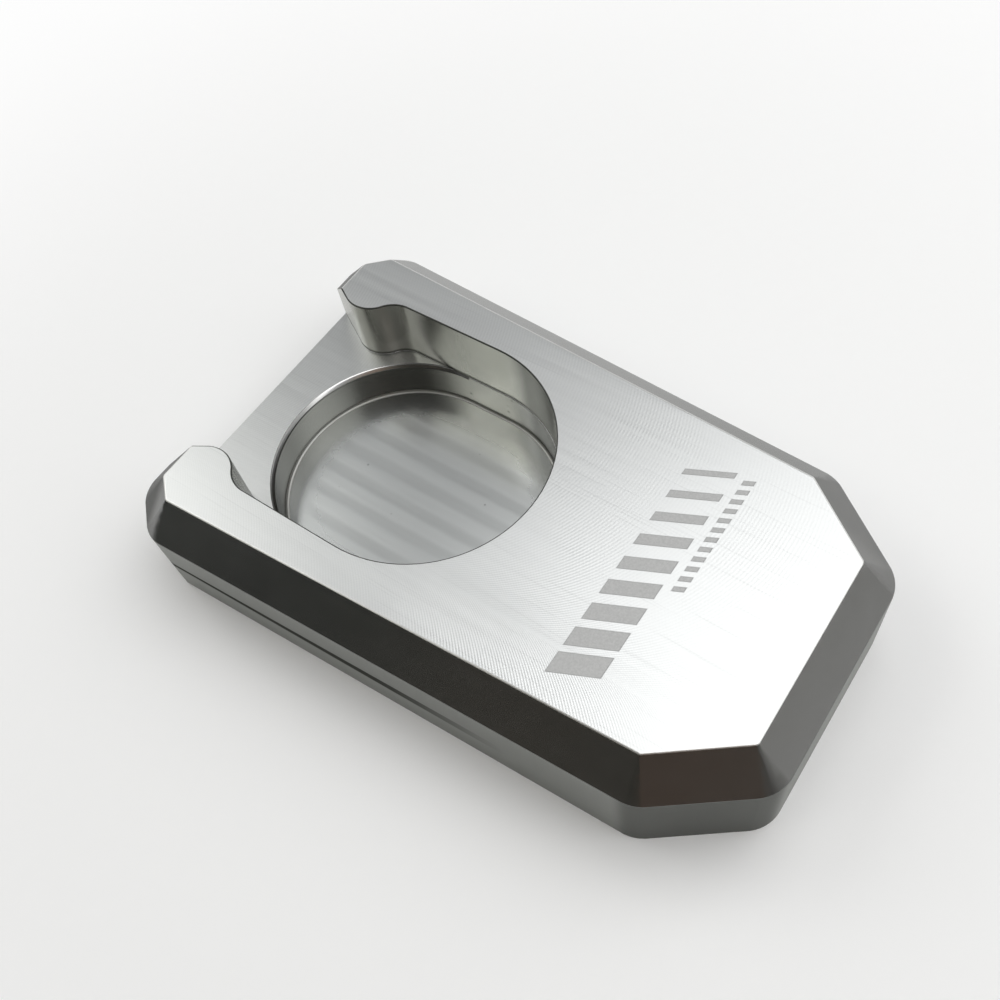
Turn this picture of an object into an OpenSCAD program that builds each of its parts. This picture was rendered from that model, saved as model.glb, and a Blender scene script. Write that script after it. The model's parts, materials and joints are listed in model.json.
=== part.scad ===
// Kickstand foot enlarger: one billet plate that slides onto a side stand's foot.
// Frame: +X runs from the open mouth to the tip, +Z is up, origin at the centre of the underside.
// Lengths are in millimetres.

/* [Body] */
// Overall length, from the mouth face to the tip face
body_l = 102; // [98:0.5:120]
// Width at the mouth face, before its corners are cut
mouth_face_w = 65.5; // [62:0.5:80]
// Width at the tip face, before its corners are cut
tip_face_w = 53.8; // [48:0.2:62]
// Overall thickness
body_h = 20.4; // [19.8:0.2:28]

/* [Corners and edges] */
// Length of the cut tip corners along the body
tip_cut_l = 14.3; // [10:0.1:20]
// Width of the cut tip corners across the body
tip_cut_w = 10.1; // [7:0.1:14]
// Length of the cut mouth corners along the body
mouth_cut_l = 6.6; // [5:0.1:8]
// Width of the cut mouth corners across the body
mouth_cut_w = 6.2; // [5:0.1:7]
// Width of the chamfer round the top
chamfer_w = 5; // [3.5:0.1:5.5]
// Radius left at the corners of the top face, above the chamfer
top_corner_r = 1; // [1:0.1:1.6]
// Depth of the chamfer round the top
chamfer_h = 5.3; // [3:0.1:7]

/* [Slot for the stand] */
// Radius of the slot's closed end, half the slot's width
slot_r = 20; // [18:0.1:21]
// Distance from the mouth face to the centre of the slot's closed end
slot_l = 35.2; // [34:0.1:40]
// Depth of the slot, from the top face to the shelf
slot_d = 11.3; // [9:0.1:12]

/* [Hooked ears] */
// Gap between the noses of the two ears
throat_w = 32.4; // [31:0.1:34]
// Distance from the mouth face to the narrowest point of the throat
throat_l = 9.5; // [7:0.1:11]
// Radius of each nose
nose_r = 5; // [3:0.1:6]
// Radius of the hollow between the nose and the slot wall
hollow_r = 5; // [3:0.1:6]
// Angle of the flared lead-in from the throat out to the mouth face
flare_a = 29.5; // [20:0.5:34]

/* [Foot pocket] */
// Radius of the pocket's two round ends
pocket_r = 19.8; // [16:0.1:19.9]
// Distance between the centres of the pocket's round ends
pocket_travel = 7.5; // [4:0.1:9]
// Depth of the pocket, from the shelf down to its floor
pocket_d = 6.9; // [4:0.1:7.2]
// Broken edge round the pocket's rim
rim_break = 0.5; // [0.2:0.1:0.8]

/* [Milling step] */
// Height of the lower band, cut in a second set-up
band_h = 8.8; // [7:0.1:10]
// Set-back of the lower band at the mouth end of the near side
band_step = 0.4; // [0.2:0.05:0.6]
// Length over which the set-back runs out to nothing
band_run = 60; // [40:1:64]

/* [Hidden] */
$fn = 96;
over = 1;
// Depth by which a round crosses the flats that it blends into.
bite = 0.01;
// Height by which a corner's cone starts above the chamfer's foot, so that only three faces meet.
lift = 0.02;
corner_r = chamfer_w + top_corner_r;
rear_x = -body_l / 2;
tip_x = body_l / 2;
slot_x = rear_x + slot_l;
shelf_z = body_h - slot_d;
floor_z = shelf_z - pocket_d;
side_slope = (mouth_face_w - tip_face_w) / 2 / body_l;
aluminium = [0.72, 0.73, 0.73];

// Half width of the sharp outline at any station along the body.
function half_w(x) = mouth_face_w / 2 - side_slope * (x - rear_x);

// Sharp corners of the near half of the outline, from the mouth to the tip.
near_half = [
    [rear_x, -mouth_face_w / 2 + mouth_cut_w],
    [rear_x + mouth_cut_l, -half_w(rear_x + mouth_cut_l)],
    [tip_x - tip_cut_l, -half_w(tip_x - tip_cut_l)],
    [tip_x, -tip_face_w / 2 + tip_cut_w],
];
// The whole outline, counter-clockwise seen from above.
outline = concat(near_half, [for (i = [len(near_half) - 1:-1:0]) [near_half[i].x, -near_half[i].y]]);
corners = len(outline);

function corner(i) = outline[(i + corners) % corners];
function edge_v(i) = corner(i + 1) - corner(i);
function edge_a(i) = atan2(edge_v(i).y, edge_v(i).x);
// Half the turn that the outline makes at a corner.
function half_turn(i) = ((edge_a(i) - edge_a(i - 1) + 720) % 360) / 2;
// Centre of the round at a corner, one corner radius inside both sides.
function round_c(i) =
    let (a = edge_a(i - 1) + half_turn(i) + 90)
    corner(i) + corner_r / cos(half_turn(i)) * [cos(a), sin(a)];

// Points of one ear's curve, all in the plane of the slot.
nose_c = [rear_x + throat_l, throat_w / 2 + nose_r];
turn_a = acos(1 - (slot_r - throat_w / 2) / (nose_r + hollow_r));
hollow_c = [nose_c.x + (nose_r + hollow_r) * sin(turn_a), slot_r - hollow_r];
flare_from = nose_c + nose_r * [-sin(flare_a), -cos(flare_a)];
nose_to = nose_c + nose_r * [sin(turn_a), -cos(turn_a)];
mouth_x = rear_x - over;
mouth_y = flare_from.y + tan(flare_a) * (flare_from.x - mouth_x);

// Cuts the chamfer along one side, as a block laid on the sloping face.
module side_chamfer(i) {
    slope_a = atan2(chamfer_h, chamfer_w);
    slope_l = norm([chamfer_w, chamfer_h]);
    translate([corner(i).x, corner(i).y, body_h - chamfer_h])
        rotate([0, 0, edge_a(i)])
            rotate([slope_a, 0, 0])
                translate([-body_h, -body_h, 0])
                    cube([norm(edge_v(i)) + 2 * body_h, body_h + slope_l + body_h, body_h]);
}

// Cuts one upright corner to a round that narrows as it runs up the chamfer.
module corner_round(i) {
    c = round_c(i);
    turn = 2 * half_turn(i);
    foot_z = body_h - chamfer_h;
    cone_r = top_corner_r / 2;
    cone_h = (corner_r - cone_r) * chamfer_h / chamfer_w;
    reach = corner_r + over;
    translate([c.x, c.y, 0])
        rotate([0, 0, edge_a(i - 1) - 90])
            difference() {
                translate([0, 0, -over])
                    linear_extrude(height = foot_z + cone_h + over)
                        polygon([
                            [0, 0],
                            [reach, 0],
                            [reach, reach * tan(turn / 2)],
                            reach * [cos(turn), sin(turn)],
                        ]);
                translate([0, 0, -2 * over])
                    cylinder(r = corner_r + bite, h = foot_z + lift + 2 * over);
                translate([0, 0, foot_z + lift])
                    cylinder(r1 = corner_r + bite, r2 = cone_r + bite, h = cone_h);
            }
}

// The solid plate: tapering sides, cut corners, chamfered top.
module blank() {
    difference() {
        linear_extrude(height = body_h) polygon(outline);
        for (i = [0:corners - 1]) side_chamfer(i);
        for (i = [0:corners - 1]) corner_round(i);
    }
}

// Plan of the slot: straight walls, a round end and the waist between the two ears.
module slot_plan() {
    difference() {
        union() {
            translate([slot_x, 0]) circle(r = slot_r);
            polygon([
                [slot_x, -slot_r], [slot_x, slot_r], [hollow_c.x, slot_r], hollow_c, nose_to,
                nose_c, flare_from, [mouth_x, mouth_y],
                [mouth_x, -mouth_y], [flare_from.x, -flare_from.y], [nose_c.x, -nose_c.y],
                [nose_to.x, -nose_to.y], [hollow_c.x, -hollow_c.y], [hollow_c.x, -slot_r],
            ]);
            for (side = [-1, 1]) translate([hollow_c.x, side * hollow_c.y]) circle(r = hollow_r + bite);
        }
        for (side = [-1, 1]) translate([nose_c.x, side * nose_c.y]) circle(r = nose_r + bite);
    }
}

// Plan of the pocket: two round ends and the straight run between them.
module pocket_plan() {
    translate([slot_x, 0]) circle(r = pocket_r);
    translate([slot_x - pocket_travel, 0]) circle(r = pocket_r);
    translate([slot_x - pocket_travel, -pocket_r]) square([pocket_travel, 2 * pocket_r]);
}

// Broken edge where the pocket's mouth-side end meets the shelf.
module rim_cut() {
    intersection() {
        translate([slot_x - pocket_travel, 0, shelf_z - rim_break])
            cylinder(r1 = pocket_r, r2 = pocket_r + rim_break, h = rim_break);
        translate([rear_x, -slot_r, shelf_z - over])
            cube([slot_x - pocket_travel - rear_x, 2 * slot_r, 2 * over]);
    }
}

// Wedge that sets the lower band back along the near side.
module band_cut() {
    deep = near_half[1] + [0, band_step];
    slope = band_step / band_run;
    run = [rear_x - over, tip_x];
    line_y = [for (x = run) deep.y + (x - deep.x) * (side_slope - slope)];
    translate([0, 0, -over])
        linear_extrude(height = band_h + over)
            polygon([
                [run[0], line_y[0]], [run[0], -mouth_face_w],
                [run[1], -mouth_face_w], [run[1], line_y[1]],
            ]);
}

module foot_plate() {
    color(aluminium)
        difference() {
            blank();
            translate([0, 0, shelf_z]) linear_extrude(height = slot_d + over) slot_plan();
            translate([0, 0, floor_z]) linear_extrude(height = pocket_d + over) pocket_plan();
            rim_cut();
            band_cut();
        }
}

foot_plate();
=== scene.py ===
"""Kickstand foot enlarger: the milled finishes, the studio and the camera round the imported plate.

The frame is the plate's own: +X runs from the open mouth to the tip, +Y to the far side, +Z up.
Shapes are in metres. Patterns in the finishes are in millimetres, which their names say.
"""

import json
import logging
import math
from dataclasses import dataclass
from enum import Enum

import bpy
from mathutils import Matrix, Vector


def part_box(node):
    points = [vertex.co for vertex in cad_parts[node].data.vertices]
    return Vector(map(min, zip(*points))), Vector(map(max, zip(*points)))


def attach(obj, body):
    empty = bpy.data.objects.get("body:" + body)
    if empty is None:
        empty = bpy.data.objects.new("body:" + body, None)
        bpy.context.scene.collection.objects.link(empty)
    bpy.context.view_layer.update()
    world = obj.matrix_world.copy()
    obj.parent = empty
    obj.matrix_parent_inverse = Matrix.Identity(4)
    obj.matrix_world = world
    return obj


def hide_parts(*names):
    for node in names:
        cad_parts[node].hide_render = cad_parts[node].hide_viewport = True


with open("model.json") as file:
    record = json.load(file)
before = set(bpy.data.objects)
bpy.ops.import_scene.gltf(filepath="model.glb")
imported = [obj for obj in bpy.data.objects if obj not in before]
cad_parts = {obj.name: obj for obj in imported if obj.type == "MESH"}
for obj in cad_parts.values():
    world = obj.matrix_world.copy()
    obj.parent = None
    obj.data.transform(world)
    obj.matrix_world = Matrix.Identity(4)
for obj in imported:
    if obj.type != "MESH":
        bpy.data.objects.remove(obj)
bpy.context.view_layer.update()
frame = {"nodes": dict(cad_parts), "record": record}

MM = 0.001
LOG = logging.getLogger("plate")
Triple = tuple[float, float, float]
Colour = Triple
Pair = tuple[float, float]
Node = bpy.types.Node
Socket = bpy.types.NodeSocket


class Val:
    """A number that varies over a surface. Arithmetic on it adds Math nodes."""

    def __init__(self, recipe: "Recipe", socket: Socket) -> None:
        """Wraps an output socket of a recipe's tree."""
        self.recipe = recipe
        self.socket = socket

    def _math(self, operation: str, *values: "Val | float") -> "Val":
        """Adds one Math node with these inputs and returns its result."""
        sockets = dict(enumerate(values))
        return self.recipe.value("ShaderNodeMath", {"operation": operation}, sockets)

    def __add__(self, other: "Val | float") -> "Val":
        """Returns self + other."""
        return self._math("ADD", self, other)

    __radd__ = __add__

    def __sub__(self, other: "Val | float") -> "Val":
        """Returns self - other."""
        return self._math("SUBTRACT", self, other)

    def __rsub__(self, other: "Val | float") -> "Val":
        """Returns other - self."""
        return self._math("SUBTRACT", other, self)

    def __mul__(self, other: "Val | float") -> "Val":
        """Returns self * other."""
        return self._math("MULTIPLY", self, other)

    __rmul__ = __mul__

    def __truediv__(self, other: "Val | float") -> "Val":
        """Returns self / other."""
        return self._math("DIVIDE", self, other)

    def sin(self) -> "Val":
        """Returns the sine, of radians."""
        return self._math("SINE", self)

    def sqrt(self) -> "Val":
        """Returns the square root."""
        return self._math("SQRT", self)

    def abs(self) -> "Val":
        """Returns the value without its sign."""
        return self._math("ABSOLUTE", self)

    def fract(self) -> "Val":
        """Returns the part after the point."""
        return self._math("FRACT", self)

    def floor(self) -> "Val":
        """Returns the whole number below."""
        return self._math("FLOOR", self)

    def at_least(self, low: "Val | float") -> "Val":
        """Returns the larger of self and low."""
        return self._math("MAXIMUM", self, low)

    def at_most(self, high: "Val | float") -> "Val":
        """Returns the smaller of self and high."""
        return self._math("MINIMUM", self, high)

    def above(self, edge: float) -> "Val":
        """Returns 1 where self is over edge, and 0 elsewhere."""
        return self._math("GREATER_THAN", self, edge)

    def fade(self, start: float, end: float) -> "Val":
        """Returns a soft step.

        Args:
            start: The value at which the step is 0.
            end: The value at which the step is 1. It may be below start.

        Returns:
            A value from 0 to 1.
        """
        low, high = min(start, end), max(start, end)
        settings = {"interpolation_type": "SMOOTHSTEP"}
        step = self.recipe.value("ShaderNodeMapRange", settings, {0: self, 1: low, 2: high})
        return step if end > start else 1 - step

    def within(self, outer: Pair, inner: Pair) -> "Val":
        """Returns 1 between the inner values and 0 beyond the outer ones, with soft steps."""
        return self.fade(outer[0], inner[0]) * self.fade(outer[1], inner[1])

    def between(self, low: float, high: float) -> "Val":
        """Returns low where self is 0 and high where it is 1."""
        return low + self * (high - low)


class Recipe:
    """Collects the nodes of one material or world.

    Attributes:
        mix_inputs: Places of the colours among a Mix node's inputs.
        mix_output: Place of the colour among its outputs.
        smallest_speck: Size of the smallest specks, as a share of the largest.
        speck_blur: Share of a speck's radius over which it fades.
    """

    mix_inputs: tuple[int, int] = (6, 7)
    mix_output: int = 2
    smallest_speck: float = 0.05
    speck_blur: float = 0.6

    def __init__(self, tree: bpy.types.NodeTree) -> None:
        """Starts with an empty tree."""
        self.tree = tree
        self.tree.nodes.clear()

    def node(
        self,
        kind: str,
        settings: dict[str, object] | None = None,
        sockets: dict[str | int, object] | None = None,
    ) -> Node:
        """Adds one node.

        Args:
            kind: The node's type.
            settings: Properties, which are set first. "stops" fills a colour ramp.
            sockets: Values or links of its inputs, by name or number.

        Returns:
            The new node.
        """
        made = self.tree.nodes.new(kind)
        for name, value in (settings or {}).items():
            if name == "stops":
                self._fill_ramp(made.color_ramp, value)
            else:
                setattr(made, name, value)
        for name, value in (sockets or {}).items():
            if isinstance(value, Val):
                self.tree.links.new(value.socket, made.inputs[name])
            elif isinstance(value, Socket):
                self.tree.links.new(value, made.inputs[name])
            else:
                made.inputs[name].default_value = value
        return made

    @staticmethod
    def _fill_ramp(ramp: bpy.types.ColorRamp, stops: list[tuple[float, Colour]]) -> None:
        """Sets a ramp's stops, which are pairs of place and colour."""
        while len(ramp.elements) < len(stops):
            ramp.elements.new(1.0)
        for element, (place, colour) in zip(ramp.elements, stops):
            element.position = place
            element.color = (*colour, 1.0)

    def value(
        self, kind: str, settings: dict[str, object], sockets: dict[str | int, object]
    ) -> Val:
        """Adds a node and returns its first output as a Val."""
        return Val(self, self.node(kind, settings, sockets).outputs[0])

    def place_mm(self) -> tuple[Val, Val, Val]:
        """Returns the object coordinates x, y and z in millimetres."""
        place = self.node("ShaderNodeTexCoord").outputs["Object"]
        parts = self.node("ShaderNodeSeparateXYZ", sockets={0: place}).outputs
        x, y, z = (Val(self, part) / MM for part in parts)
        return x, y, z

    def vector(self, x: Val | float, y: Val | float, z: Val | float) -> Socket:
        """Returns a vector made of three values."""
        return self.node("ShaderNodeCombineXYZ", sockets={0: x, 1: y, 2: z}).outputs[0]

    def noise(self, x: Val | float, y: Val | float, z: Val | float, detail: float = 2.0) -> Val:
        """Adds noise from 0 to 1 with a mean of 0.5, of which one unit is about one blob."""
        sockets = {"Vector": self.vector(x, y, z), "Scale": 1.0, "Detail": detail}
        return Val(self, self.node("ShaderNodeTexNoise", sockets=sockets).outputs[0])

    def specks(self, spread: float, reach: float) -> Val:
        """Adds scattered round specks.

        Args:
            spread: Mean distance between specks in millimetres.
            reach: Radius of the largest specks, as a share of spread.

        Returns:
            1 in the middle of a speck, 0 between them.
        """
        place = self.vector(*(part / spread for part in self.place_mm()))
        cells = self.node("ShaderNodeTexVoronoi", sockets={"Vector": place, "Scale": 1.0})
        distance = Val(self, cells.outputs["Distance"])
        pick = self.node("ShaderNodeSeparateXYZ", sockets={0: cells.outputs["Color"]})
        size = Val(self, pick.outputs[0]).at_least(self.smallest_speck) * reach
        return (1 - distance / size).at_least(0.0).fade(0.0, self.speck_blur)

    def shade(self, colour: Colour, tone: Val) -> Socket:
        """Returns a colour multiplied by a tone."""
        sockets = {0: colour, 1: self.vector(tone, tone, tone)}
        return self.node("ShaderNodeVectorMath", {"operation": "MULTIPLY"}, sockets).outputs[0]

    def blend(self, factor: Val, first: Socket, second: Socket) -> Socket:
        """Returns a mix of two colours, all first at factor 0."""
        mix = self.node("ShaderNodeMix", {"data_type": "RGBA"}, {"Factor": factor})
        for place, colour in zip(self.mix_inputs, (first, second)):
            self.tree.links.new(colour, mix.inputs[place])
        return mix.outputs[self.mix_output]

    def matt(self, colour: Socket, rough: float = 0.9) -> Node:
        """Adds a shader without any gloss."""
        sockets = {"Base Color": colour, "Roughness": rough, "Specular IOR Level": 0.0}
        return self.node("ShaderNodeBsdfPrincipled", sockets=sockets)

    def mix_shaders(self, factor: Val | float, first: Node, second: Node) -> Node:
        """Adds a mix of two shaders, all first at factor 0."""
        sockets = {0: factor, 1: first.outputs[0], 2: second.outputs[0]}
        return self.node("ShaderNodeMixShader", sockets=sockets)

    def surface(self, shader: Node) -> None:
        """Makes a shader the material's surface."""
        self.node("ShaderNodeOutputMaterial", sockets={"Surface": shader.outputs[0]})


def length(x: Val, y: Val) -> Val:
    """Returns the length of the vector (x, y)."""
    return (x * x + y * y).sqrt()


@dataclass(frozen=True)
class Effect:
    """What a mark changes at its strongest.

    Attributes:
        height_mm: Change of height.
        tone: Change of the factor on the metal's colour.
        rough: Change of roughness.
    """

    height_mm: float = 0.0
    tone: float = 0.0
    rough: float = 0.0


@dataclass(frozen=True)
class Trace(Effect):
    """A mark that follows smooth noise. As it comes, it is a fine grain.

    Attributes:
        per_mm: Number of blobs to a millimetre along X, Y and Z.
        shift: Shift of the noise along Z, in blobs.
        detail: Octaves of finer noise.
        sets_in: Levels of the noise between which the mark sets in, if not everywhere.
    """

    per_mm: Triple = (6.0, 6.0, 6.0)
    shift: float = 0.0
    detail: float = 2.0
    sets_in: Pair | None = None


@dataclass
class Marks:
    """What a cutter leaves on a surface, and the light and shade painted on it.

    Attributes:
        tone: Factor on the metal's colour, about 1.
        rough: Roughness.
        height: Height of the marks in millimetres.
        film: Share of the surface under a dull, dark, matt film, which in many places is painted
            shade or a painted dark reflection.
    """

    tone: Val | float
    rough: Val | float
    height: Val | float = 0.0
    film: Val | float = 0.0

    def add(self, pattern: Val, effect: Effect) -> None:
        """Adds an effect that is as strong as a pattern."""
        if effect.tone:
            self.tone = self.tone + pattern * effect.tone
        if effect.rough:
            self.rough = self.rough + pattern * effect.rough
        if effect.height_mm:
            self.height = self.height + pattern * effect.height_mm


@dataclass(frozen=True)
class Finish:
    """Bare milled aluminium. Each kind of surface has its own cutter marks.

    Attributes:
        name: The material's name.
        colour: The metal's colour.
        rough: Mean roughness.
        mean_tone: Mean factor on the colour.
        film_colour: Colour of the dull film.
        film_rough: Roughness of the dull film.
        traces: The marks that follow noise.
    """

    name: str
    colour: Colour = (0.70, 0.71, 0.705)
    rough: float = 0.3
    mean_tone: float = 1.0
    film_colour: Colour = (0.035, 0.036, 0.032)
    film_rough: float = 0.8
    traces: tuple[Trace, ...] = (Trace(height_mm=0.002, tone=0.04, rough=0.04),)

    def marks(self, recipe: Recipe) -> Marks:
        """Returns all marks: those that follow noise, and the kind's own."""
        marks = Marks(self.mean_tone, self.rough)
        x, y, z = recipe.place_mm()
        for trace in self.traces:
            along, across, up = trace.per_mm
            noise = recipe.noise(x * along, y * across, z * up + trace.shift, trace.detail)
            marks.add(noise.fade(*trace.sets_in) if trace.sets_in else noise - 0.5, trace)
        self.cut(marks, recipe, x, y, z)
        return marks

    def cut(self, marks: Marks, recipe: Recipe, x: Val, y: Val, z: Val) -> None:
        """Adds the marks of this kind of surface at a place in millimetres: none, as it comes."""

    def colour_of(self, recipe: Recipe, marks: Marks) -> Socket:
        """Returns the colour that the shader takes."""
        return recipe.shade(self.colour, marks.tone)

    def material(self) -> bpy.types.Material:
        """Builds the material."""
        made = bpy.data.materials.new(self.name)
        made.use_nodes = True
        recipe = Recipe(made.node_tree)
        marks = self.marks(recipe)
        bump = recipe.node(
            "ShaderNodeBump",
            sockets={"Height": marks.height, "Distance": MM, "Strength": 1.0},
        )
        metal = recipe.node(
            "ShaderNodeBsdfPrincipled",
            sockets={
                "Base Color": self.colour_of(recipe, marks),
                "Metallic": 1.0,
                "Roughness": marks.rough,
                "Normal": bump.outputs[0],
            },
        )
        film = recipe.matt(recipe.shade(self.film_colour, marks.tone), self.film_rough)
        recipe.surface(recipe.mix_shaders(marks.film, metal, film))
        return made


@dataclass(frozen=True)
class FlyCut(Finish):
    """A flat face cut by a wide face mill: crossed arcs and faint streaks along its passes.

    Attributes:
        cutter_mm: Radius of the face mill.
        pass_mm: Place of the first pass's centre line across the plate.
        join_mm: Place at which the second pass takes over.
        join_blur_mm: Half the width over which it does so.
        feed_mm: Distance between two arcs.
        lead: Strength of the arcs that the mill's front edge left.
        trail: Strength of the arcs that its back edge left.
        worn_mm: Middle of the area in which the cutter bit deepest.
        worn_reach_mm: Distances from there at which that area ends and is at its deepest.
        depths: Strength of the arcs everywhere, and what patches and that area add to it.
        patch_per_mm: Number of patches to a millimetre.
        patch_from: Levels of the noise between which a patch sets in.
    """

    traces: tuple[Trace, ...] = (
        Trace(tone=0.10, rough=0.10, per_mm=(0.03, 1.1, 1.0), detail=3.0),
        Trace(height_mm=0.002, tone=0.07, rough=0.05, per_mm=(5.0, 5.0, 5.0)),
        Trace(
            height_mm=-0.002,
            tone=-0.06,
            per_mm=(0.05, 3.0, 1.0),
            shift=7.0,
            detail=1.0,
            sets_in=(0.62, 0.74),
        ),
    )
    cutter_mm: float = 31.5
    pass_mm: float = 12.0
    join_mm: float = -16.5
    join_blur_mm: float = 0.6
    feed_mm: float = 0.42
    lead: float = 0.85
    trail: float = 0.28
    worn_mm: Pair = (13.0, -22.0)
    worn_reach_mm: Pair = (24.0, 6.0)
    depths: Triple = (0.2, 0.35, 0.95)
    patch_per_mm: float = 0.06
    patch_from: Pair = (0.35, 0.65)

    def arcs(self, x: Val, y: Val, centre_mm: float) -> Val:
        """Returns the crossed arcs of one pass, about 0."""
        off = y - centre_mm
        bow = (self.cutter_mm**2 - off * off).at_least(0.0).sqrt()
        turn = math.tau / self.feed_mm
        return ((x - bow) * turn).sin() * self.lead + ((x + bow) * turn).sin() * self.trail

    def depth(self, recipe: Recipe, x: Val, y: Val, z: Val) -> Val:
        """Returns how strong the arcs are."""
        scale = self.patch_per_mm
        patch = recipe.noise(x * scale, y * scale, z * scale).fade(*self.patch_from)
        worn = length(x - self.worn_mm[0], y - self.worn_mm[1]).fade(*self.worn_reach_mm)
        return self.depths[0] + patch * self.depths[1] + worn * self.depths[2]

    def cut(self, marks: Marks, recipe: Recipe, x: Val, y: Val, z: Val) -> None:
        """Adds the arcs."""
        first = self.arcs(x, y, self.pass_mm)
        second = self.arcs(x, y, 2 * self.join_mm - self.pass_mm)
        side = (y - self.join_mm).fade(-self.join_blur_mm, self.join_blur_mm)
        arcs = (first * side + second * (1 - side)) * self.depth(recipe, x, y, z)
        marks.add(arcs, Effect(height_mm=0.004, tone=0.065))


@dataclass(frozen=True)
class Stripes:
    """A row of slanted bars, the widest first.

    Attributes:
        along_mm: Ends of the bars along the plate.
        across_mm: Ends of the row across the plate.
        count: Number of bars.
        widest_mm: Width of the first bar.
        narrowest_mm: Width of the last bar.
        slant: Shift of a bar across the plate for each millimetre along it.
    """

    along_mm: Pair
    across_mm: Pair
    count: int
    widest_mm: float
    narrowest_mm: float
    slant: float = 0.45

    def distance(self, x: Val, y: Val) -> Val:
        """Returns the distance in millimetres from the nearest bar, below 0 inside one."""
        start, end = self.across_mm
        pitch = (end - start) / self.count
        middle = sum(self.along_mm) / 2
        place = (y - (x - middle) * self.slant - start) / pitch
        thinning = (self.widest_mm - self.narrowest_mm) / 2 / (self.count - 1)
        half = self.widest_mm / 2 - place.floor() * thinning
        bar = (place.fract() - 0.5).abs() * pitch - half
        beyond = (place - self.count / 2).abs() * pitch - (end - start) / 2
        ends = (x - middle).abs() - (self.along_mm[1] - self.along_mm[0]) / 2
        return bar.at_least(beyond).at_least(ends)


@dataclass(frozen=True)
class EtchedTop(FlyCut):
    """The top face, with a laser-etched ornament of slanted bars.

    Attributes:
        etch_colour: Colour of the etched metal.
        big: The row of large bars.
        small: The row of small bars.
        blur_mm: Half the width of a bar's soft edge.
        line_mm: Distances from a bar's edge between which its dark line sets in.
        line_tone: How much darker that line is.
        grit_per_mm: Number of burnt grains to a millimetre.
        burnt_height_mm: Least and greatest height of the etched metal.
        burnt_tone: Its least and greatest tone.
        burnt_rough: Its least and greatest roughness.
    """

    etch_colour: Colour = (0.50, 0.50, 0.495)
    big: Stripes = Stripes(
        along_mm=(19.4, 25.9), across_mm=(-19.1, 18.4), count=9, widest_mm=3.2, narrowest_mm=1.0
    )
    small: Stripes = Stripes(
        along_mm=(27.2, 28.7), across_mm=(-2.2, 18.4), count=12, widest_mm=0.8, narrowest_mm=0.8
    )
    blur_mm: float = 0.03
    line_mm: Pair = (0.12, 0.02)
    line_tone: float = 0.28
    grit_per_mm: float = 4.0
    burnt_height_mm: Pair = (-0.011, -0.005)
    burnt_tone: Pair = (0.80, 1.20)
    burnt_rough: Pair = (0.55, 0.65)

    def etch(self, recipe: Recipe) -> tuple[Val, Val]:
        """Returns the etched area, and the thin line round it."""
        x, y, _ = recipe.place_mm()
        nearest = self.big.distance(x, y).at_most(self.small.distance(x, y))
        return nearest.fade(self.blur_mm, -self.blur_mm), nearest.abs().fade(*self.line_mm)

    def cut(self, marks: Marks, recipe: Recipe, x: Val, y: Val, z: Val) -> None:
        """Adds the arcs, and burns the etch over them."""
        super().cut(marks, recipe, x, y, z)
        area, line = self.etch(recipe)
        bare = 1 - area
        grit = recipe.noise(x * self.grit_per_mm, y * self.grit_per_mm, z, detail=3.0)
        tone = marks.tone * bare + grit.between(*self.burnt_tone) * area
        marks.tone = tone * (1 - line * self.line_tone)
        marks.height = marks.height * bare + grit.between(*self.burnt_height_mm) * area
        marks.rough = marks.rough * bare + grit.between(*self.burnt_rough) * area

    def colour_of(self, recipe: Recipe, marks: Marks) -> Socket:
        """Returns bright metal, and duller metal where it is etched."""
        area, _ = self.etch(recipe)
        bright = recipe.shade(self.colour, marks.tone)
        return recipe.blend(area, bright, recipe.shade(self.etch_colour, marks.tone))


@dataclass(frozen=True)
class SideCut(Finish):
    """A wall cut by the flank of an end mill: upright bands, fine lines and a grain."""

    mean_tone: float = 0.995
    traces: tuple[Trace, ...] = (
        Trace(height_mm=0.010, tone=0.06, rough=0.10, per_mm=(1 / 2.6, 1 / 2.6, 0.03)),
        Trace(height_mm=0.0006, tone=0.03, per_mm=(4.0, 4.0, 0.1), detail=1.0),
        Trace(tone=0.05, rough=0.05, per_mm=(5.0, 5.0, 5.0)),
    )


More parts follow.
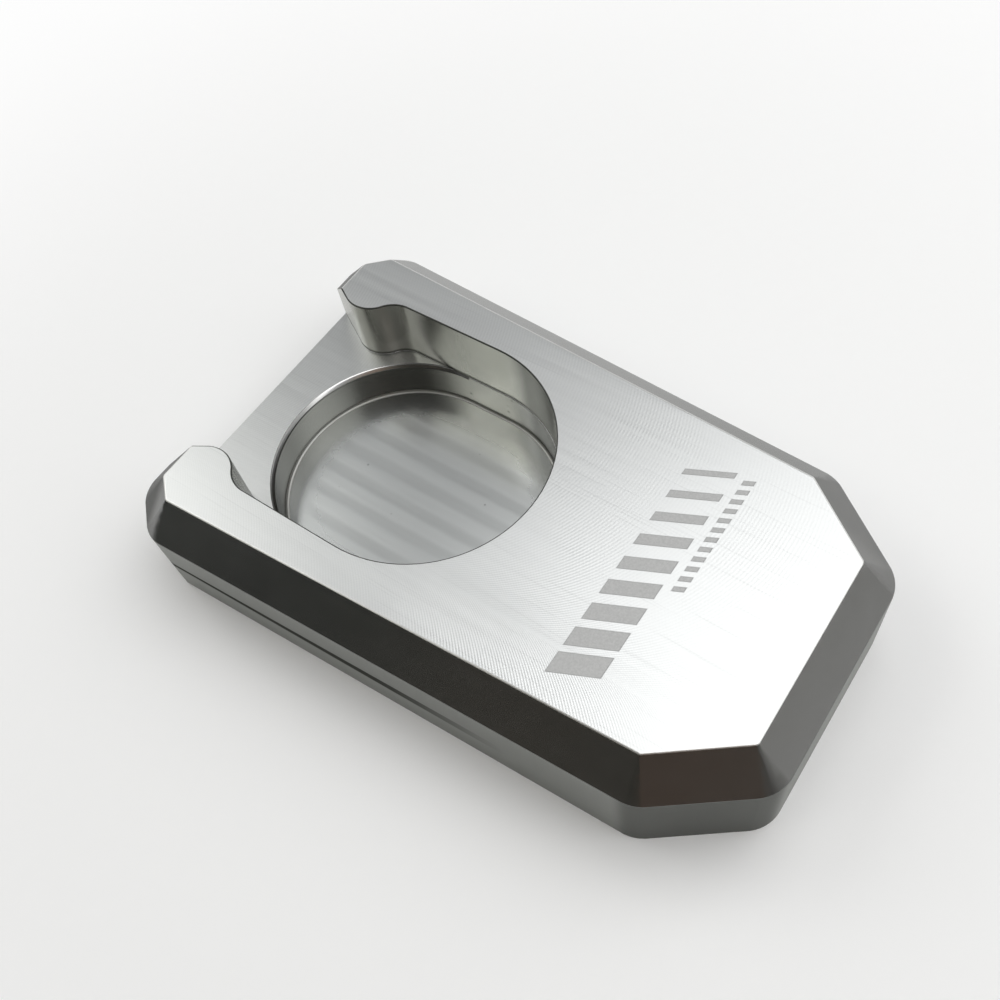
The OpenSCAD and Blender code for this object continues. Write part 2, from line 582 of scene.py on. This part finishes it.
@dataclass(frozen=True)
class SteppedSide(SideCut):
    """The outer wall: its lower band was cut in a second set-up; under the step a dark band of
    painted shadow runs along the near side.

    Attributes:
        seam_mm: Height of the lower band's upper edge, along the near side.
        seam_blur_mm: Height over which that edge is soft.
        near_mm: Where, across the plate, the near side begins.
        run_mm: Where, along the plate, the painted shadow under the step sets in.
        ledge_shadow_mm: Heights between which the painted shadow sets in below the step.
        ledge_shadow_film: Share of the painted shadow under the dark film.
        facet: Direction that the facet at the near tip corner faces, which gets a painted dark
            reflection.
        facet_mm: Distances from the middle between which that facet begins.
        facet_dark_reflection: How much more dark film the facet has than the rest of the wall, as a
            painted dark reflection.
        wall_film: Share of the wall under the dark film, which darkens the whole wall evenly as
            painted shade.
        below_film: How much less film there is below the seam.
    """

    seam_mm: float = 8.8
    seam_blur_mm: float = 0.1
    near_mm: Pair = (-25.0, -27.5)
    run_mm: Pair = (28.0, -6.0)
    ledge_shadow_mm: Pair = (5.8, 6.4)
    ledge_shadow_film: float = 0.92
    facet: Pair = (0.606, -0.795)
    facet_mm: Pair = (42.4, 44.0)
    facet_dark_reflection: float = 0.4
    wall_film: float = 0.22
    below_film: float = 0.08

    def cut(self, marks: Marks, recipe: Recipe, x: Val, y: Val, z: Val) -> None:
        """Adds the film, with a painted shadow under the step on the near side and a painted dark
        reflection on one facet.
        """
        near = y.fade(*self.near_mm) * x.fade(*self.run_mm)
        below = z.fade(self.seam_mm + self.seam_blur_mm, self.seam_mm) * near
        # Painted shadow: a dark band on the lower wall under the step.
        painted_ledge_shadow = below * z.fade(*self.ledge_shadow_mm)
        # Painted dark reflection on the facet at the near tip corner.
        dull = (x * self.facet[0] + y * self.facet[1]).fade(*self.facet_mm)
        # The even dark film over the whole wall is painted shade too.
        film = self.wall_film - below * self.below_film + dull * self.facet_dark_reflection
        marks.film = film.at_least(painted_ledge_shadow * self.ledge_shadow_film)


@dataclass(frozen=True)
class SlotCut(SideCut):
    """The slot's wall: a painted dark reflection on its far side, where the straight part turns
    into the round end, and painted shade along its foot.

    Attributes:
        light_mm: Where, along the plate, the wall gets lighter.
        tones: Factor on the tone before and after that.
        dark_reflection_mm: Ends of the painted dark reflection on the far side, along the plate.
        darkest_mm: Ends of the stretch in which it is darkest.
        foot_shade_mm: Heights between which the painted shade sets in at the wall's foot.
        film: Share of the painted dark reflection and of the painted foot shade under the dark
            film.
    """

    light_mm: Pair = (-29.0, -15.8)
    tones: Pair = (0.7, 1.02)
    dark_reflection_mm: Pair = (-14.5, -0.6)
    darkest_mm: Pair = (-10.0, -3.6)
    foot_shade_mm: Pair = (9.8, 9.4)
    film: float = 0.7

    def cut(self, marks: Marks, recipe: Recipe, x: Val, y: Val, z: Val) -> None:
        """Adds the painted dark reflection and the painted shade at the foot."""
        # Painted dark reflection on the far side, and painted shade along the wall's foot.
        painted_dark_reflection = y.above(0.0) * x.within(self.dark_reflection_mm, self.darkest_mm)
        marks.tone = marks.tone * x.fade(*self.light_mm).between(*self.tones)
        marks.film = painted_dark_reflection.at_least(z.fade(*self.foot_shade_mm)) * self.film


@dataclass(frozen=True)
class PocketCut(SideCut):
    """The pocket's wall: palest along the far side, where a light reflection is painted on, with
    painted dark reflections on either side of it.

    Attributes:
        pale_mm: Ends of the painted light reflection on the far side, along the plate.
        palest_mm: Ends of the stretch in which it is lightest.
        tones: Factor on the tone beside the painted light reflection and in it.
        speck_mm: Distance between the specks in the painted light reflection.
        speck_reach: Radius of the largest specks, as a share of that distance.
        speck_film: Share of a speck under the film.
        near_mm: Where, across the plate, the near side begins.
        near_film: Share of the near side under the film.
        far_mm: Where, across the plate, the far side begins.
        clear_mm: Ends of the stretch of the far side between its two painted dark reflections.
        clearest_mm: Ends of the stretch that is free of them.
        dark_reflection_film: Share of the painted dark reflections under the dark film.
    """

    pale_mm: Pair = (-28.0, -11.0)
    palest_mm: Pair = (-22.0, -16.0)
    tones: Pair = (0.72, 1.22)
    speck_mm: float = 1.3
    speck_reach: float = 0.3
    speck_film: float = 0.75
    near_mm: Pair = (2.0, -6.0)
    near_film: float = 0.4
    far_mm: Pair = (8.0, 11.0)
    clear_mm: Pair = (-32.0, -9.0)
    clearest_mm: Pair = (-29.0, -12.0)
    dark_reflection_film: float = 0.5

    def cut(self, marks: Marks, recipe: Recipe, x: Val, y: Val, z: Val) -> None:
        """Adds the painted light reflection, its specks and the painted dark reflections."""
        # Painted light reflection on the far side, and painted dark reflections beside it.
        pale = y.above(0.0) * x.within(self.pale_mm, self.palest_mm)
        specks = recipe.specks(self.speck_mm, self.speck_reach) * self.speck_film
        near = y.fade(*self.near_mm) * self.near_film
        dark = y.fade(*self.far_mm) * (1 - x.within(self.clear_mm, self.clearest_mm))
        marks.tone = marks.tone * pale.between(*self.tones)
        marks.film = (specks * pale).at_least(near).at_least(dark * self.dark_reflection_film)


@dataclass(frozen=True)
class RimCut(Finish):
    """The pocket's rim, broken by hand, with a painted highlight at one place on it.

    Attributes:
        painted_glint_mm: Middle of the painted highlight on the rim.
        reach_mm: Distances from there at which the painted highlight ends and is at its brightest.
        films: Share under the dark film away from the painted highlight and in its middle.
    """

    mean_tone: float = 0.45
    traces: tuple[Trace, ...] = (
        Trace(height_mm=0.001),
        Trace(tone=0.22, rough=0.08, per_mm=(0.3, 0.3, 0.3)),
    )
    painted_glint_mm: Pair = (-40.5, 9.5)
    reach_mm: Pair = (11.0, 11.0 / 3)
    films: Pair = (0.35, 0.0)

    def cut(self, marks: Marks, recipe: Recipe, x: Val, y: Val, z: Val) -> None:
        """Adds the painted highlight and the dark film round it."""
        # Painted highlight: the rim is brightened round one place.
        near = length(x - self.painted_glint_mm[0], y - self.painted_glint_mm[1]).fade(*self.reach_mm)
        marks.add(near, Effect(tone=0.7))
        marks.film = near.between(*self.films)


@dataclass(frozen=True)
class EdgeCut(Finish):
    """A sloping edge cut in one pass by a chamfer mill: nearly smooth.

    Attributes:
        film: Share of the surface under the dull film.
        mouth_mm: Where, along the plate, the mouth corners begin.
        mouth_more: How much more film they have, as a share of the rest.
        tip_mm: Where, along the plate, the far side gets duller.
        far_mm: Where, across the plate, the far side begins.
        tip_more: How much more film it has at the tip, as a share of the rest.
    """

    mean_tone: float = 0.995
    traces: tuple[Trace, ...] = (
        Trace(height_mm=0.001, tone=0.05, per_mm=(0.1, 0.1, 1.6)),
        Trace(tone=0.08, rough=0.06, per_mm=(0.2, 0.2, 0.4)),
        Trace(tone=0.03),
    )
    film: float = 0.2
    mouth_mm: Pair = (-44.0, -47.0)
    mouth_more: float = 2.1
    tip_mm: Pair = (-20.0, 45.0)
    far_mm: Pair = (15.0, 20.0)
    tip_more: float = 0.8

    def cut(self, marks: Marks, recipe: Recipe, x: Val, y: Val, z: Val) -> None:
        """Adds the film."""
        mouth = x.fade(*self.mouth_mm) * self.mouth_more
        far_tip = x.fade(*self.tip_mm) * y.fade(*self.far_mm) * self.tip_more
        marks.film = (1 + mouth + far_tip) * self.film


@dataclass(frozen=True)
class PocketFloor(Finish):
    """The pocket's floor: straight passes of an end mill, and a last pass round the wall.

    Attributes:
        step_mm: Distance between two passes.
        first_mm: Place of one pass across the plate.
        wobble_mm: How far the passes stray from straight lines.
        bends_per_mm: Number of their bends to a millimetre, along and across the plate.
        crest: Level of a pass's wave from which it is flat, and the last pass's height.
        ends_mm: Centres of the pocket's round ends along the plate.
        ring_mm: Radii between which the last pass took over.
        light_mm: Where, along the plate, the floor gets lighter, as painted light.
        pale_out_mm: Radii between which the painted reflection of the far wall sets in.
        pale_far_mm: Where, across the plate, it sets in.
        pale_mm: Ends of the painted reflection along the plate.
        palest_mm: Ends of the stretch in which it is lightest.
        clouds_per_mm: Number of its clouds to a millimetre.
        speck_mm: Distance between specks.
        speck_reach: Radius of the largest specks, as a share of that distance.
        speck_tone: How much darker the specks are.
    """

    mean_tone: float = 0.81
    traces: tuple[Trace, ...] = (
        Trace(height_mm=0.002, tone=0.06, rough=0.05, per_mm=(0.06, 0.9, 0.0), shift=5.0),
        Trace(tone=0.05, per_mm=(5.0, 5.0, 5.0)),
    )
    step_mm: float = 4.4
    first_mm: float = 2.3
    wobble_mm: float = 0.8
    bends_per_mm: Pair = (0.08, 0.2)
    crest: float = 0.8
    ends_mm: Pair = (-23.3, -15.8)
    ring_mm: Pair = (13.4, 16.8)
    light_mm: Pair = (-8.0, -36.0)
    pale_out_mm: Pair = (11.5, 15.0)
    pale_far_mm: Pair = (6.0, 11.0)
    pale_mm: Pair = (-27.0, -2.0)
    palest_mm: Pair = (-21.0, -7.0)
    clouds_per_mm: float = 0.3
    speck_mm: float = 3.1
    speck_reach: float = 0.1
    speck_tone: float = 0.35

    def cut(self, marks: Marks, recipe: Recipe, x: Val, y: Val, z: Val) -> None:
        """Adds the passes, the ring, the painted light along the plate, the painted reflection of
        the far wall and a few specks.
        """
        out = length(x - x.at_least(self.ends_mm[0]).at_most(self.ends_mm[1]), y)
        ring = out.fade(*self.ring_mm)
        along, across = self.bends_per_mm
        wobble = recipe.noise(x * along, y * across, 3.0) * self.wobble_mm
        wave = ((y - self.first_mm + wobble) * (math.pi / self.step_mm)).sin()
        passes = (wave * wave).fade(0.0, self.crest) * (1 - ring) + ring * self.crest
        # Painted reflection of the far wall: a light, cloudy patch by the ring.
        pale = out.fade(*self.pale_out_mm) * y.fade(*self.pale_far_mm)
        clouds = recipe.noise(x * self.clouds_per_mm, y * self.clouds_per_mm, 9.0) + 0.5
        pale = pale * x.within(self.pale_mm, self.palest_mm) * clouds
        marks.add(passes, Effect(height_mm=0.012, tone=0.13))
        marks.add(ring, Effect(rough=-0.05))
        # Painted light: the floor gets lighter towards the mouth.
        marks.add(x.fade(*self.light_mm), Effect(tone=0.2))
        marks.add(pale, Effect(tone=0.3))
        speck = recipe.specks(self.speck_mm, self.speck_reach)
        marks.tone = marks.tone * (1 - speck * self.speck_tone)


class Skin(Enum):
    """The plate's surfaces, each with its own finish. The value is the material's place."""

    TOP = 0
    SHELF = 1
    CHAMFER = 2
    SIDE = 3
    SLOT_WALL = 4
    POCKET_WALL = 5
    POCKET_FLOOR = 6
    UNDERSIDE = 7
    RIM = 8
    STEP = 9
    DEBURRED_PAINTED_DARK = 10
    BROKEN_EDGE = 11
    FILLET = 12


# The side's and the chamfer's colours are far darker than bare aluminium: painted shade, standing
# in for the dark surroundings that these faces reflect.
FINISHES: dict[Skin, Finish] = {
    Skin.TOP: EtchedTop("top_milled_and_etched", rough=0.34, feed_mm=0.52),
    Skin.SHELF: FlyCut("shelf_milled", colour=(0.63, 0.64, 0.635), rough=0.34, feed_mm=0.5),
    Skin.CHAMFER: EdgeCut("chamfer_milled", colour=(0.25, 0.25, 0.245), rough=0.2),
    Skin.SIDE: SteppedSide("side_milled", colour=(0.28, 0.29, 0.27), rough=0.36),
    Skin.SLOT_WALL: SlotCut("slot_wall_milled", colour=(0.54, 0.54, 0.495), rough=0.25),
    Skin.POCKET_WALL: PocketCut("pocket_wall_milled", colour=(0.32, 0.32, 0.295), rough=0.24),
    Skin.POCKET_FLOOR: PocketFloor("pocket_floor_milled", colour=(0.57, 0.585, 0.58), rough=0.29),
    Skin.UNDERSIDE: FlyCut("underside_milled", rough=0.36),
    Skin.RIM: RimCut("rim_broken_by_hand", colour=(0.62, 0.62, 0.61), rough=0.2),
    Skin.STEP: Finish("step_milled", colour=(0.2, 0.2, 0.19), rough=0.42),
    Skin.FILLET: EdgeCut("fillet_milled", colour=(0.42, 0.42, 0.4), rough=0.4, film=0.15),
    Skin.BROKEN_EDGE: Finish("broken_edge", colour=(0.74, 0.74, 0.725), rough=0.32),
    # The slot's deburred top edge is near-black: a painted dark reflection.
    Skin.DEBURRED_PAINTED_DARK: EdgeCut("deburred_edge_painted_dark", colour=(0.13, 0.13, 0.125), rough=0.3, film=0.6),
}


def only(piece: bpy.types.Object) -> None:
    """Makes a piece the one selected and active object."""
    bpy.ops.object.select_all(action="DESELECT")
    piece.select_set(True)
    bpy.context.view_layer.objects.active = piece


@dataclass
class MilledPlate:
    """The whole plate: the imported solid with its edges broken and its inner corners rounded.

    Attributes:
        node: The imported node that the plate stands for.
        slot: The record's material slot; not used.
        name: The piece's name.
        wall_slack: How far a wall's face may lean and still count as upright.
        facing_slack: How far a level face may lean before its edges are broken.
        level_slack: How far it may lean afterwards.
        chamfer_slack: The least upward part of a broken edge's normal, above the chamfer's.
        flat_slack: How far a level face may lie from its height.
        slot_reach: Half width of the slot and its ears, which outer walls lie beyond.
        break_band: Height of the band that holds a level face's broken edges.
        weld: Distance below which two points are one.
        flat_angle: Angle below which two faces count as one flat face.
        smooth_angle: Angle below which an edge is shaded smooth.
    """

    node: str = "foot_plate"
    slot: str = "machined_aluminium"
    name: str = "milled_plate"
    wall_slack: float = 0.2
    facing_slack: float = 0.02
    level_slack: float = 0.01
    chamfer_slack: float = 0.72
    flat_slack: float = 0.05 * MM
    slot_reach: float = 24.5 * MM
    break_band: float = 0.24 * MM
    weld: float = 0.004 * MM
    flat_angle: float = math.radians(0.6)
    smooth_angle: float = math.radians(35)

    def __post_init__(self) -> None:
        """Reads the heights from the frame, and works out where the slot and its ears end."""
        low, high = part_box(self.node)
        mounts = {m["name"]: m["pos_m"] for m in frame["record"]["mounts"]}
        self.mouth_x, self.tip_x, self.top_z = low.x, high.x, high.z
        self.shelf_z = mounts["shelf"][2]
        self.floor_z = mounts["pocket_floor"][2]
        self.inner_end_x = self.tip_x / 5
        self.ear_x = self.mouth_x / 2

    def edge_breaks(self) -> dict[frozenset[Skin], float]:
        """Returns the size of the break or round between each two surfaces."""
        breaks_mm = {
            (Skin.TOP, Skin.CHAMFER): 0.18,
            (Skin.CHAMFER, Skin.SIDE): 0.12,
            (Skin.SIDE, Skin.UNDERSIDE): 0.30,
            (Skin.TOP, Skin.SLOT_WALL): 0.20,
            (Skin.SHELF, Skin.SLOT_WALL): 0.06,
            (Skin.SHELF, Skin.POCKET_WALL): 0.06,
            (Skin.SHELF, Skin.RIM): 0.14,
            (Skin.RIM, Skin.POCKET_WALL): 0.16,
            (Skin.POCKET_WALL, Skin.POCKET_FLOOR): 0.50,
            (Skin.SHELF, Skin.SIDE): 0.12,
            (Skin.SLOT_WALL, Skin.SIDE): 0.20,
            (Skin.SLOT_WALL, Skin.CHAMFER): 0.12,
        }
        return {frozenset(skins): size * MM for skins, size in breaks_mm.items()}

    def skin_of(self, centre: Vector, normal: Vector) -> Skin:
        """Tells which surface a face belongs to, from its middle and its normal."""
        if normal.z > 1 - self.facing_slack:
            heights = {
                Skin.TOP: self.top_z,
                Skin.SHELF: self.shelf_z,
                Skin.POCKET_FLOOR: self.floor_z,
            }
            return min(heights, key=lambda skin: abs(heights[skin] - centre.z))
        if normal.z < -1 + self.facing_slack:
            return Skin.UNDERSIDE if centre.z < self.flat_slack else Skin.STEP
        inside = self.mouth_x + self.flat_slack < centre.x < self.inner_end_x
        inside = inside and abs(centre.y) < self.slot_reach
        if abs(normal.z) > self.wall_slack:
            return Skin.RIM if inside and centre.z < self.shelf_z else Skin.CHAMFER
        if not inside:
            return Skin.SIDE
        return Skin.SLOT_WALL if centre.z > self.shelf_z else Skin.POCKET_WALL

    def build(self) -> bpy.types.Object:
        """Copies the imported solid, cleans it, and breaks its edges.

        Returns:
            The finished piece, without its materials.
        """
        mesh = frame["nodes"][self.node].data.copy()
        mesh.name = self.name
        piece = bpy.data.objects.new(self.name, mesh)
        bpy.context.scene.collection.objects.link(piece)
        only(piece)
        bpy.ops.mesh.customdata_custom_splitnormals_clear()
        bpy.ops.object.mode_set(mode="EDIT")
        bpy.ops.mesh.select_all(action="SELECT")
        bpy.ops.mesh.remove_doubles(threshold=self.weld)
        bpy.ops.mesh.dissolve_limited(angle_limit=self.flat_angle)
        bpy.ops.mesh.select_all(action="DESELECT")
        bpy.ops.object.mode_set(mode="OBJECT")
        self._name_faces(mesh)
        self._break_edges(piece)
        self._name_breaks(mesh)
        bpy.ops.object.shade_smooth_by_angle(angle=self.smooth_angle)
        bpy.ops.object.modifier_add(type="WEIGHTED_NORMAL")
        shading = piece.modifiers[-1]
        shading.keep_sharp = True
        shading.weight = 100
        bpy.ops.object.modifier_apply(modifier=shading.name)
        return piece

    def _name_faces(self, mesh: bpy.types.Mesh) -> None:
        """Gives each face the material place of its surface."""
        mesh.materials.clear()
        for _ in Skin:
            mesh.materials.append(None)
        for face in mesh.polygons:
            face.material_index = self.skin_of(face.center, face.normal).value

    def _name_breaks(self, mesh: bpy.types.Mesh) -> None:
        """Gives the pocket's fillet and rim and the top's broken edges their own surfaces."""
        rim_x = self.mouth_x + MM
        for face in mesh.polygons:
            place, normal = face.center, face.normal
            if not self.level_slack < normal.z < 1 - self.level_slack:
                continue
            if place.z < self.shelf_z / 2:
                face.material_index = Skin.FILLET.value
            elif self.shelf_z - self.break_band < place.z < self.shelf_z and place.x > rim_x:
                face.material_index = Skin.RIM.value
            elif self.top_z - self.break_band < place.z < self.top_z:
                if self._at_slot(place, normal):
                    # Painted dark reflection: this broken edge along the slot gets the near-black
                    # finish.
                    face.material_index = Skin.DEBURRED_PAINTED_DARK.value
                elif normal.z > self.chamfer_slack:
                    face.material_index = Skin.BROKEN_EDGE.value

    def _at_slot(self, place: Vector, normal: Vector) -> bool:
        """Tells whether a broken edge of the top runs along the slot, which it then faces."""
        faces_in = normal.y * math.copysign(1, place.y) < -self.level_slack
        in_slot = abs(place.y) < self.slot_reach and place.x < self.inner_end_x
        return in_slot and (place.x > self.ear_x or faces_in)

    def _break_edges(self, piece: bpy.types.Object) -> None:
        """Bevels the edges between named surfaces, each by its own size."""
        mesh = piece.data
        touching: dict[int, list[Skin]] = {}
        for face in mesh.polygons:
            for loop in face.loop_indices:
                edge = mesh.loops[loop].edge_index
                touching.setdefault(edge, []).append(Skin(face.material_index))
        breaks = self.edge_breaks()
        widest = max(breaks.values())
        weights = mesh.attributes.new("bevel_weight_edge", "FLOAT", "EDGE")
        for edge, skins in touching.items():
            weights.data[edge].value = breaks.get(frozenset(skins), 0.0) / widest
        bpy.ops.object.modifier_add(type="BEVEL")
        bevel = piece.modifiers[-1]
        bevel.limit_method = "WEIGHT"
        bevel.offset_type = "OFFSET"
        bevel.width = widest
        bevel.segments = 3
        bevel.use_clamp_overlap = False
        bpy.ops.object.modifier_apply(modifier=bevel.name)

    def dress(self, piece: bpy.types.Object) -> None:
        """Gives the piece its finishes and seats it in the frame."""
        for skin in Skin:
            piece.data.materials[skin.value] = FINISHES[skin].material()
        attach(piece, "root")
        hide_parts(self.node)
        LOG.info("%s: %d faces in %d finishes", piece.name, len(piece.data.polygons), len(Skin))


@dataclass(frozen=True)
class Softbox:
    """A square lamp that faces the plate.

    Attributes:
        name: The lamp's name.
        direction: Where it hangs, seen from the plate.
        distance: How far it hangs from the plate.
        side: Length of its side.
        level: Its radiance, where 1 is white.
        colour: Its colour.
    """

    name: str
    direction: Triple
    distance: float
    side: float
    level: float
    colour: Colour = (1.0, 1.0, 1.0)

    def build(self) -> bpy.types.Object:
        """Hangs the lamp."""
        lamp = bpy.data.lights.new(self.name, "AREA")
        lamp.shape = "SQUARE"
        lamp.size = self.side
        lamp.energy = self.level * math.pi * self.side**2
        lamp.color = self.colour
        made = bpy.data.objects.new(self.name, lamp)
        bpy.context.scene.collection.objects.link(made)
        away = Vector(self.direction).normalized()
        made.location = away * self.distance
        made.rotation_euler = away.to_track_quat("Z", "Y").to_euler()
        made.visible_camera = False
        LOG.info("%s: %.1f W", self.name, lamp.energy)
        return made


@dataclass(frozen=True)
class CurvedScreen:
    """A standing curved screen, which smooth metal shows as its dark side.

    Attributes:
        name: The screen's name.
        start_deg: Where its arc starts, counted from +X.
        end_deg: Where its arc ends, counter-clockwise from the start.
        height: Height above the floor.
        radius: Distance from the plate.
        steps: Number of flat panels.
        cloth: Places from 0 on the left to 1 on the right, and the cloth's colour there.
        weave_per_mm: Number of the weave's blobs to a millimetre.
        weave: How far the weave shifts the colours.
    """

    name: str
    start_deg: float
    end_deg: float
    height: float
    radius: float
    steps: int = 48
    cloth: tuple[tuple[float, Colour], ...] = (
        (0.0, (0.17, 0.175, 0.165)),
        (0.04, (0.10, 0.104, 0.095)),
        (0.09, (0.155, 0.14, 0.12)),
        (0.22, (0.11, 0.105, 0.09)),
        (0.38, (0.14, 0.12, 0.10)),
        (0.46, (0.235, 0.165, 0.13)),
        (0.6, (0.25, 0.215, 0.19)),
        (0.72, (0.25, 0.24, 0.23)),
        (0.95, (0.95, 0.95, 0.94)),
    )
    weave_per_mm: float = 0.01
    weave: float = 0.02

    def build(self) -> bpy.types.Object:
        """Stands the screen on the floor."""
        start, end = math.radians(self.start_deg), math.radians(self.end_deg)
        foot = Vector((math.cos(start), math.sin(start), 0.0)) * self.radius
        bpy.ops.object.select_all(action="DESELECT")
        bpy.ops.mesh.primitive_plane_add(size=0.01)
        screen = bpy.context.object
        screen.name = self.name
        bpy.ops.object.mode_set(mode="EDIT")
        bpy.ops.mesh.merge(type="CENTER")
        bpy.ops.transform.translate(value=foot)
        bpy.ops.mesh.extrude_region_move(TRANSFORM_OT_translate={"value": (0, 0, self.height)})
        bpy.ops.mesh.select_all(action="SELECT")
        bpy.ops.mesh.spin(steps=self.steps, angle=start - end, center=(0, 0, 0), axis=(0, 0, 1))
        bpy.ops.object.mode_set(mode="OBJECT")
        screen.data.materials.append(self.material())
        screen.visible_camera = False
        LOG.info("%s: %d panels", self.name, len(screen.data.polygons))
        return screen

    def material(self) -> bpy.types.Material:
        """Returns cloth that is dark on the left, brown in front and pale on the right."""
        made = bpy.data.materials.new(self.name + "_cloth")
        made.use_nodes = True
        recipe = Recipe(made.node_tree)
        x, y, z = recipe.place_mm()
        scale = self.weave_per_mm
        weave = recipe.noise(x * scale, y * scale, z * scale) * self.weave
        place = ((x + y) / (self.radius / MM * math.sqrt(2)) + weave + 1) / 2
        ramp = recipe.node("ShaderNodeValToRGB", {"stops": self.cloth}, {0: place})
        recipe.surface(recipe.matt(ramp.outputs[0]))
        return made


@dataclass
class Studio:
    """The floor, the world and the lamps.

    Attributes:
        floor_side: Length of the floor's side.
        floor_colour: Colour of the floor.
        fibre_per_mm: Number of the paper's blobs to a millimetre.
        fibre_tones: Least and greatest tone of the paper.
        white_mm: Distances from the plate's middle between which the floor turns to plain white.
        white_share: How far it turns to it.
        ceiling: The world's radiance overhead.
        horizon: The world's radiance at the horizon.
        horizon_rise: Heights of a ray, from 0 to 1, between which the horizon sets in.
        amber_across: Sideways parts of a ray between which the amber side sets in.
        cool: Tint of the room.
        amber: Tint of its near side.
        lamps: The lamps.
        screens: The screens that reflections show.
    """

    floor_side: float = 6.0
    floor_colour: Colour = (0.985, 0.985, 0.985)
    fibre_per_mm: float = 0.4
    fibre_tones: Pair = (0.995, 1.005)
    white_mm: Pair = (75.0, 220.0)
    white_share: float = 0.9
    ceiling: float = 0.32
    horizon: float = 1.0
    horizon_rise: Pair = (0.45, 0.08)
    amber_across: Pair = (0.3, -0.7)
    cool: Colour = (0.985, 1.0, 1.01)
    amber: Colour = (1.005, 1.0, 0.97)
    lamps: tuple[Softbox, ...] = (
        Softbox("key_softbox", (0.366, 0.347, 1.0), distance=0.75, side=0.96, level=1.48),
        Softbox(
            "left_softbox",
            (-1.06, -0.06, 1.0),
            distance=0.8, side=0.44, level=1.6, colour=(1.0, 1.0, 0.97),
        ),
        Softbox(
            "front_softbox",
            (-0.55, -0.66, 1.0),
            distance=0.85, side=0.28, level=1.2, colour=(1.0, 1.0, 0.93),
        ),
    )
    screens: tuple[CurvedScreen, ...] = (
        CurvedScreen("low_screen", start_deg=-165.0, end_deg=55.0, height=0.16, radius=0.50),
        CurvedScreen("front_screen", start_deg=-116.0, end_deg=-24.0, height=0.52, radius=0.42),
    )

    def build(self) -> None:
        """Makes the floor, the world, the lamps and the screens."""
        self._floor()
        self._world()
        for lamp in self.lamps:
            lamp.build()
        for screen in self.screens:
            screen.build()

    def _floor(self) -> None:
        """Lays the floor: paper that takes the plate's shadow, and plain white further out."""
        bpy.ops.object.select_all(action="DESELECT")
        bpy.ops.mesh.primitive_grid_add(x_subdivisions=8, y_subdivisions=8, size=self.floor_side)
        floor = bpy.context.object
        floor.name = "studio_floor"
        made = bpy.data.materials.new("studio_paper")
        made.use_nodes = True
        recipe = Recipe(made.node_tree)
        x, y, z = recipe.place_mm()
        fibre = recipe.noise(x * self.fibre_per_mm, y * self.fibre_per_mm, z)
        path = recipe.node("ShaderNodeLightPath").outputs
        rays = ("Is Camera Ray", "Is Glossy Ray", "Is Transmission Ray")
        camera, glossy, clear = (Val(recipe, path[ray]) for ray in rays)
        seen = (camera + glossy + clear).at_most(1.0)
        away = length(x, y).fade(*self.white_mm)
        tone = fibre.between(*self.fibre_tones)
        paper = recipe.matt(recipe.shade(self.floor_colour, tone))
        white = recipe.node("ShaderNodeEmission", sockets={"Color": (1, 1, 1, 1), "Strength": 1.0})
        recipe.surface(recipe.mix_shaders(seen * away * self.white_share, paper, white))
        floor.data.materials.append(made)
        LOG.info("%s: %.1f m square", floor.name, self.floor_side)

    def _world(self) -> None:
        """Lights the scene from all round: pale at the horizon and darker overhead."""
        world = bpy.data.worlds.new("studio_room")
        world.use_nodes = True
        bpy.context.scene.world = world
        recipe = Recipe(world.node_tree)
        place = recipe.node("ShaderNodeTexCoord").outputs["Generated"]
        parts = recipe.node("ShaderNodeSeparateXYZ", sockets={0: place}).outputs
        across, rise = Val(recipe, parts[1]), Val(recipe, parts[2])
        level = rise.fade(*self.horizon_rise).between(self.ceiling, self.horizon)
        cool, amber = (recipe.shade(tint, level) for tint in (self.cool, self.amber))
        colour = recipe.blend(across.fade(*self.amber_across), cool, amber)
        room = recipe.node("ShaderNodeBackground", sockets={"Color": colour})
        recipe.node("ShaderNodeOutputWorld", sockets={"Surface": room.outputs[0]})


@dataclass
class Viewpoint:
    """The camera, where the photographer's was.

    Attributes:
        place: Its place.
        turn_deg: Its turn about X, Y and Z.
        lens: Its focal length on a 36 mm sensor.
    """

    place: Triple = (0.05619, -0.05685, 0.14335)
    turn_deg: Triple = (31.895, 6.865, 34.875)
    lens: float = 37.569

    def build(self) -> bpy.types.Object:
        """Sets the camera up."""
        camera = bpy.data.cameras.new("photo_camera")
        camera.lens = self.lens
        camera.sensor_width = 36.0
        camera.clip_start = 0.005
        camera.clip_end = 20.0
        made = bpy.data.objects.new("photo_camera", camera)
        bpy.context.scene.collection.objects.link(made)
        made.location = self.place
        made.rotation_euler = [math.radians(turn) for turn in self.turn_deg]
        bpy.context.scene.camera = made
        LOG.info("%s: %.1f mm lens", made.name, self.lens)
        return made


def main() -> None:
    """Builds the plate, then the studio round it."""
    logging.basicConfig(level=logging.INFO, format="%(message)s")
    bpy.context.scene.view_settings.view_transform = "Standard"
    plate = MilledPlate()
    plate.dress(plate.build())
    Studio().build()
    Viewpoint().build()


if __name__ == "__main__":
    main()
